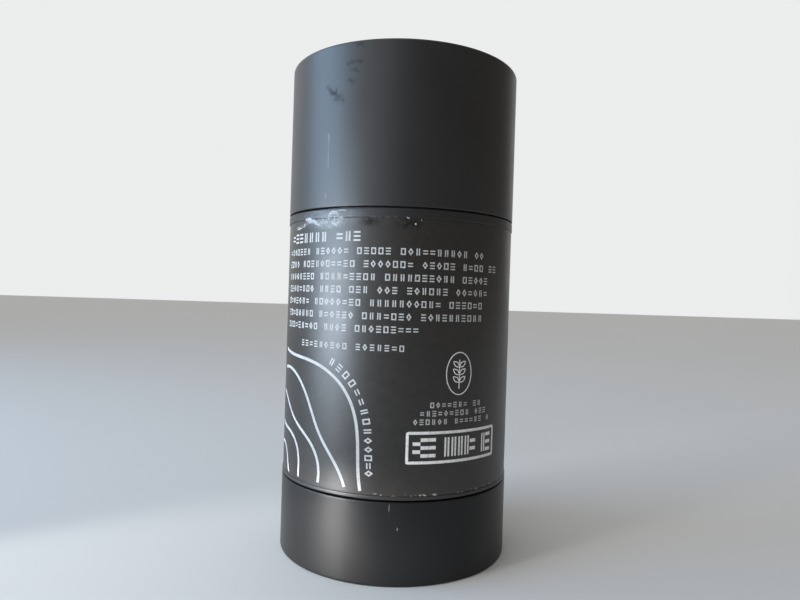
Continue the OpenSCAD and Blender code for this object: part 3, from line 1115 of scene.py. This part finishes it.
    def ripple_marks(self):
        """A row of marks that follows the outermost ripple."""
        marks = []
        radius = self.ripple_radii[-1]
        wide, tall = self.ripple_marks_size
        turn, last = self.ripple_marks_turns
        while turn > last:
            here = self.ripple_point(radius, turn)
            along = (self.ripple_point(radius, turn - 1.0) - here).normalized()
            here += Vector((-along.y, along.x)) * self.ripple_marks_away
            marks.append((here.x, here.y, math.atan2(along.y, along.x), wide, tall / self.tall))
            turn -= math.degrees(self.pitch * self.ripple_marks_pitch / radius)
        return marks

    def panel_frame(self):
        left, right, low, high = self.panel
        inset = self.panel_line / 2
        x0, x1 = self.arc(left) + inset, self.arc(right) - inset
        z0, z1 = low + inset, high - inset
        return [([(x0, z0), (x1, z0), (x1, z1), (x0, z1)], True)]

    def sprig(self):
        """A stem with paired leaves inside an oval ring."""
        centre = Vector((self.arc(self.sprig_at[0]), self.sprig_at[1]))
        a, b = self.sprig_size
        turns = [math.tau * k / self.sprig_steps for k in range(self.sprig_steps)]
        lines = [
            ([centre + Vector((a * math.cos(turn), b * math.sin(turn))) for turn in turns], True),
            ([centre + Vector((0, b * end)) for end in self.stem], False),
        ]
        for level in self.leaf_levels:
            for side in (-1, 1):
                leaf = self.leaf(centre + Vector((0, b * level)), side, a * self.leaf_length)
                lines.append((leaf, True))
        return lines

    def leaf(self, root, side, length):
        """A pointed leaf outline that rises from the stem."""
        along = Vector((side * self.leaf_rise[0], self.leaf_rise[1])) * length
        across = Vector((-along.y, along.x)).normalized() * length * self.leaf_width
        run = [root + along * t + across * math.sin(math.pi * t) for t in (0, 0.25, 0.5, 0.75, 1)]
        return run + [root + along * t - across * math.sin(math.pi * t) for t in (0.75, 0.5, 0.25)]

    def print_lines(self, name, lines, width, ink):
        return bake(
            path_object(name + "_path", lines), "ribbon", name, Width=width * MM,
            Thickness=self.settings.ink * 2, Step=self.line_step * MM, Radius=FILM_RADIUS * MM,
            Material=ink,
        )

    def print_marks(self, name, layout, ink):
        source = source_object(name + "_points", [(x, level, 0.0) for x, level, *_ in layout])
        store(source, "turn", [turn for _, _, turn, _, _ in layout])
        store(source, "size", [(wide, tall, 1.0) for *_, wide, tall in layout], "FLOAT_VECTOR")
        kinds = self.mark_kinds()
        made = bake(
            source, "marks", name, Marks=kinds, Radius=FILM_RADIUS * MM, Seed=self.settings.seed,
            Material=ink,
        )
        for mark in list(kinds.objects):
            bpy.data.objects.remove(mark)
        bpy.data.collections.remove(kinds)
        return made

    def mark_kinds(self):
        """Five plain marks made of bars: a frame, a lozenge, two stacks and a pair."""
        line = mm(self.settings.stroke)
        w, h = (self.tall * self.mark_share - line) / 2, (self.tall - line) / 2
        square = ((-w, -h), (w, -h), (w, h), (-w, h))
        lozenge = ((0, -h), (w, 0), (0, h), (-w, 0))
        kinds = {
            "mark_frame": list(zip(square, (*square[1:], square[0]))),
            "mark_lozenge": list(zip(lozenge, (*lozenge[1:], lozenge[0]))),
            "mark_three": [((-w, y), (w, y)) for y in (-h, 0, h)],
            "mark_two": [((-w, y), (w, y)) for y in (-h / 2, h / 2)],
            "mark_pair": [((x, -h), (x, h)) for x in (-w * self.pair_share, w * self.pair_share)],
        }
        group = bpy.data.collections.new("mark_kinds")
        for name, bars in kinds.items():
            group.objects.link(self.bars(name, bars, line, mm(self.settings.ink)))
        return group

    def bars(self, name, bars, line, ink):
        """Thin bars between pairs of points, lying half in the film and half above it."""
        points, faces = [], []
        for first, last in bars:
            first, last = Vector(first), Vector(last)
            along = (last - first).normalized() * line / 2
            across = Vector((-along.y, along.x))
            corners = [end + across * side for end in (first - along, last + along) for side in (-1, 1)]
            faces += [tuple(len(points) + c for c in face) for face in BOX_FACES]
            points += [(p.x, p.y, z) for p in corners for z in (-ink, ink)]
        return bpy.data.objects.new(name, mesh_of(name, points, faces=faces))


class STICK_OT_residue(bpy.types.Operator):
    """Smear dried deodorant along the film's top edge."""

    bl_idname = "stick.residue"
    bl_label = "Residue"

    step = 0.1
    strokes = (
        (((-34.1, 69.6), (-34.4, 70.3), (-33.6, 70.9), (-31.8, 71.2), (-29.9, 71.1), (-28.8, 70.6)), 1.0),
        (((-30.9, 70.4), (-31.3, 69.9), (-30.5, 69.4)), 0.7),
        (((-29.4, 70.1), (-27.9, 70.2), (-25.9, 69.9)), 0.7),
        (((-33.0, 69.4), (-31.1, 68.9), (-29.6, 68.8), (-28.5, 69.3)), 1.0),
        (((-50.6, 70.2), (-47.3, 70.15), (-44.8, 69.8), (-42.2, 69.3), (-39.8, 68.8)), 1.15),
        (((-49.2, 69.8), (-45.6, 69.5)), 0.8),
        (((-39.6, 69.6), (-38.5, 69.0)), 0.45),
        (((-37.3, 68.9), (-36.4, 69.5)), 0.5),
        (((-35.9, 69.7), (-35.2, 69.0)), 0.45),
        (((-59.4, 68.4), (-54.0, 68.7)), 0.4),
        (((-53.0, 68.7), (-51.1, 69.3)), 0.4),
        (((-29.3, 71.5), (-26.9, 71.6), (-24.8, 71.4)), 0.22),
        (((2.3, 70.2), (3.9, 70.0)), 0.42),
        (((6.1, 69.1), (6.8, 68.8)), 0.47),
        (((8.8, 69.7), (9.3, 69.8)), 0.35),
    )

    def execute(self, context):
        wear = context.scene.stick_wear
        runs = [[unrolled(place) for place in places] for places, _ in self.strokes]
        source = path_object("residue_path", [(run, False) for run in runs])
        strip = (CAP_RADIUS - FILM_RADIUS) * MM
        store(source, "wide", [wide for places, wide in self.strokes for _ in places])
        store(source, "lift", [strip if level > FILM_HIGH else 0.0 for run in runs for _, level in run])
        made = bake(
            source, "smears", "dried_smears", Half_width=wear.paste_width, Height=wear.paste_height,
            Ragged=wear.paste_rough, Step=self.step * MM, Seed=wear.seed, Radius=FILM_RADIUS * MM,
            Material=dry_residue(),
        )
        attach(made, "barrel")
        return {"FINISHED"}


class STICK_OT_turn_base(bpy.types.Operator):
    """Build the smooth turn base with its standing ring, hub and ribs."""

    bl_idname = "stick.turn_base"
    bl_label = "Turn base"

    # Pale streaks on the base, as two ends and a width
    pale_streaks = (
        ((-1.4, 15.7), (-1.4, 14.4), 0.14),
        ((2.4, 11.4), (2.4, 11.0), 0.18),
    )
    # The base's black is painted darker, as painted shade against the floor's reflection in it
    tone = 0.4
    recess = 1.2
    ring_width = 3.2
    floor = 1.4
    hub = 7.0
    socket = 4.6
    socket_depth = 9.0
    groove_low, groove_high = 10.1, 12.3
    groove_depth, groove_slope = 0.45, 0.7
    rib_count = 8
    rib_width = 1.0
    rib_height = 4.0
    rib_root = 0.3

    def execute(self, context):
        shells, finish = context.scene.stick_shells, context.scene.stick_finish
        plastic = satin_shell(
            "base_satin", finish.base_roughness, finish.base_gloss, (), self.pale_streaks, tone=self.tone
        )
        fit = mm(shells.running_fit)
        bore = neck_and_bore(shells)[1] + mm(shells.collar_wall) + fit
        groove = bore + self.groove_depth
        deck = self.recess + self.floor
        hub_top = BASE_HIGH + mm(shells.seam_gap) - fit
        socket_end = hub_top - self.socket_depth - fit
        inner_edge = BASE_RADIUS - self.ring_width
        corners = [
            (0.0, self.recess, 0.0),
            (inner_edge, self.recess, 0.3),
            (inner_edge, BASE_LOW, 0.3),
            (BASE_RADIUS, BASE_LOW, mm(shells.outer_edge)),
            (BASE_RADIUS, BASE_HIGH, mm(shells.seam_edge)),
            (bore, BASE_HIGH, 0.1),
            (bore, self.groove_high, 0.0),
            (groove, self.groove_high - self.groove_slope, 0.1),
            (groove, self.groove_low + self.groove_slope, 0.1),
            (bore, self.groove_low, 0.0),
            (bore, deck, 0.5),
            (self.hub, deck, 0.5),
            (self.hub, hub_top, 0.2),
            (self.socket, hub_top, 0.2),
            (self.socket, socket_end, 0.0),
            (0.0, socket_end, 0.0),
        ]
        reach = (self.hub - self.rib_root, bore + self.rib_root)
        level = (deck - self.rib_root, deck + self.rib_height)
        ribs = ring_of_blocks("base_ribs", self.rib_count, reach, self.rib_width, level, plastic)
        shell = turned_piece("turn_base_shell", corners, plastic, on_axis=True)
        dress(join("turn_base_shell", [shell, ribs]), "turn_base")
        return {"FINISHED"}


class STICK_OT_mechanism(bpy.types.Operator):
    """Give the screw spindle and the carrier their moulded finish."""

    bl_idname = "stick.mechanism"
    bl_label = "Screw and carrier"

    def execute(self, context):
        for node in ("spindle", "carrier"):
            piece = frame["nodes"][node]
            piece.data.materials.clear()
            piece.data.materials.append(natural_moulding(node + "_natural"))
        return {"FINISHED"}


class STICK_OT_deodorant(bpy.types.Operator):
    """Build the domed, part-used deodorant with its screw hole and key slots."""

    bl_idname = "stick.deodorant"
    bl_label = "Deodorant"

    dome_radius = 70.0
    dome_steps = 9
    dome_margin = 1.5
    edge_start = 3.0
    edge_radius = 1.8
    wave = 0.25
    wave_size = 11.0
    hole = 5.4
    rim_height = 3.0
    rim = 1.0
    fit = 0.08
    slot_count = 4
    slot_width = 2.0
    slot_depth = 0.8
    slot_over = 1.0

    def execute(self, context):
        step = WAX_LOW + self.rim_height
        foot = WAX_RADIUS - self.rim - self.fit
        edge = self.dome_level(WAX_RADIUS)
        span = WAX_RADIUS - self.dome_margin - self.hole
        dome = [self.hole + span * k / self.dome_steps for k in range(1, self.dome_steps)]
        corners = [
            (self.hole, self.dome_level(self.hole), 0.35),
            *((r, self.dome_level(r), 0.0) for r in dome),
            (WAX_RADIUS, edge, self.edge_radius),
            (WAX_RADIUS, step, 0.0),
            (foot, step, 0.0),
            (foot, WAX_LOW, 0.0),
            (self.hole, WAX_LOW, 0.0),
        ]
        waves = {
            "wave": (0.0, self.wave * MM),
            "wave_size": self.wave_size,
            "wave_from": edge - self.edge_start,
        }
        solid = turned_piece("wax_stick", corners, wax_solid(), **waves)
        self.cut_slots(solid)
        dress(solid, "deodorant")
        return {"FINISHED"}

    def dome_level(self, reach):
        """Level of the dome at a radius. It is highest at the edge of the screw's hole."""
        fall = math.sqrt(self.dome_radius**2 - self.hole**2) - math.sqrt(self.dome_radius**2 - reach**2)
        return WAX_HIGH - fall

    def cut_slots(self, solid):
        """Cuts the slots that the barrel's keys run in."""
        reach = (WAX_RADIUS - self.slot_depth, WAX_RADIUS + self.slot_over)
        level = (WAX_LOW - self.slot_over, WAX_HIGH + self.slot_over)
        ring = ring_of_blocks("slot_cutters", self.slot_count, reach, self.slot_width, level, None)
        cut = solid.modifiers.new("slots", "BOOLEAN")
        cut.operation = "DIFFERENCE"
        cut.solver = "EXACT"
        cut.object = ring
        mesh = evaluated_mesh(solid)
        solid.modifiers.remove(cut)
        solid.data = mesh
        bpy.data.objects.remove(ring)
        face_outwards(solid)


class STICK_OT_stage(bpy.types.Operator):
    """Set the floor, the soft lamps, the pale surroundings and the camera."""

    bl_idname = "stick.stage"
    bl_label = "Stage"

    floor_half = 4.0
    floor_colours = ((0.62, 0.62, 0.615), (0.65, 0.65, 0.645))
    dark_side = (0.90, -0.436, 0.0)
    dark_from, dark_to = 0.09, 0.42
    # A lamp is its place, size, setting and colour, the level in mm that it faces, and its spread
    lamps = {
        "high_lamp": ((-0.49, -0.085, 0.26), (0.34, 0.34), "high_power", (0.40, 0.67, 1.0), 52, 180),
        "low_lamp": ((-0.375, -0.18, 0.050), (0.36, 0.064), "low_power", (0.75, 0.87, 1.0), 52, 60),
        "strip_lamp": ((-0.131, -0.091, 0.0065), (0.085, 0.004), "strip_power", (1.0, 0.98, 0.96), 5, 15),
    }

    def execute(self, context):
        self.floor()
        self.surroundings(context)
        for name, lamp in self.lamps.items():
            self.lamp(context, name, *lamp)
        self.camera(context)
        context.scene.view_settings.view_transform = "Standard"
        return {"FINISHED"}

    def floor(self):
        h = mm(self.floor_half)
        corners = [(-h, -h, 0), (h, -h, 0), (h, h, 0), (-h, h, 0)]
        floor = source_object("stage_floor", corners, faces=[(0, 1, 2, 3)])
        g = Graph("stage_floor")
        base = g.blend(g.noise(400.0), *self.floor_colours)
        g.fill(g.shader, Base_Color=base, Roughness=0.9, Specular_IOR_Level=0.1)
        floor.data.materials.append(g.material)

    def surroundings(self, context):
        """A pale room all round that grows darker towards one side."""
        stage = context.scene.stick_stage
        world = bpy.data.worlds.new("stage_world")
        world.use_nodes = True
        room = Nodes(world.node_tree)
        sight = room.add("ShaderNodeTexCoord").outputs["Generated"]
        side = room.vectors("DOT_PRODUCT", sight, self.dark_side, result=1)
        share = room.get(
            "ShaderNodeMapRange", side, self.dark_from, self.dark_to, interpolation_type="SMOOTHSTEP"
        )
        light = room.get("ShaderNodeBackground", room.blend(share, stage.surround, stage.shade))
        room.add("ShaderNodeOutputWorld", light)
        context.scene.world = world

    def lamp(self, context, name, place, size, setting, colour, aim_level, spread):
        """A soft rectangular lamp that faces a level on the stick's axis."""
        data = bpy.data.lights.new(name, "AREA")
        data.shape = "RECTANGLE"
        data.size, data.size_y = size
        data.energy = getattr(context.scene.stick_stage, setting)
        data.color = colour
        data.spread = math.radians(spread)
        place = Vector(place)
        facing = (Vector((0, 0, aim_level * MM)) - place).to_track_quat("-Z", "Y")
        lamp = linked(name, data)
        lamp.matrix_world = Matrix.Translation(place) @ facing.to_matrix().to_4x4()
        lamp.visible_camera = False

    def camera(self, context):
        """The photograph's viewing angle: level, a little rolled, half way up the stick."""
        stage = context.scene.stick_stage
        data = bpy.data.cameras.new("stage_camera")
        data.sensor_width = 36.0
        data.lens = stage.lens
        data.clip_start = 5 * MM
        data.clip_end = 20.0
        place = Matrix.Translation((0, -stage.eye_distance, stage.eye_height))
        sideways = Matrix.Rotation(-stage.yaw, 4, "Z")
        upwards = Matrix.Rotation(math.pi / 2 + stage.pitch, 4, "X")
        camera = linked("stage_camera", data)
        camera.matrix_world = place @ sideways @ upwards @ Matrix.Rotation(stage.roll, 4, "Z")
        context.scene.camera = camera


class STICK_PT_panel(bpy.types.Panel):
    """Lists the pieces in the 3D view's sidebar."""

    bl_idname = "STICK_PT_panel"
    bl_label = "Deodorant stick"
    bl_space_type = "VIEW_3D"
    bl_region_type = "UI"
    bl_category = "Stick"

    def draw(self, context):
        for operator in OPERATORS:
            self.layout.operator(operator.bl_idname)
        for group in GROUPS:
            box = self.layout.box()
            settings = getattr(context.scene, group)
            for name in settings.__annotations__:
                box.prop(settings, name)


GROUPS = {
    "stick_shells": StickShells,
    "stick_print": StickPrint,
    "stick_wear": StickWear,
    "stick_finish": StickFinish,
    "stick_stage": StickStage,
}
OPERATORS = (
    STICK_OT_trees,
    STICK_OT_cap,
    STICK_OT_barrel,
    STICK_OT_label,
    STICK_OT_print,
    STICK_OT_residue,
    STICK_OT_turn_base,
    STICK_OT_mechanism,
    STICK_OT_deodorant,
    STICK_OT_stage,
)


def register():
    for name, group in GROUPS.items():
        bpy.utils.register_class(group)
        setattr(bpy.types.Scene, name, PointerProperty(type=group))
    for cls in (*OPERATORS, STICK_PT_panel):
        bpy.utils.register_class(cls)


def unregister():
    for cls in (STICK_PT_panel, *reversed(OPERATORS)):
        bpy.utils.unregister_class(cls)
    for name, group in GROUPS.items():
        delattr(bpy.types.Scene, name)
        bpy.utils.unregister_class(group)


def main():
    register()
    bpy.ops.stick.trees()
    bpy.ops.stick.cap()
    bpy.ops.stick.barrel()
    bpy.ops.stick.label()
    bpy.ops.stick.print()
    bpy.ops.stick.residue()
    bpy.ops.stick.turn_base()
    bpy.ops.stick.mechanism()
    bpy.ops.stick.deodorant()
    bpy.ops.stick.stage()


if __name__ == "__main__":
    main()
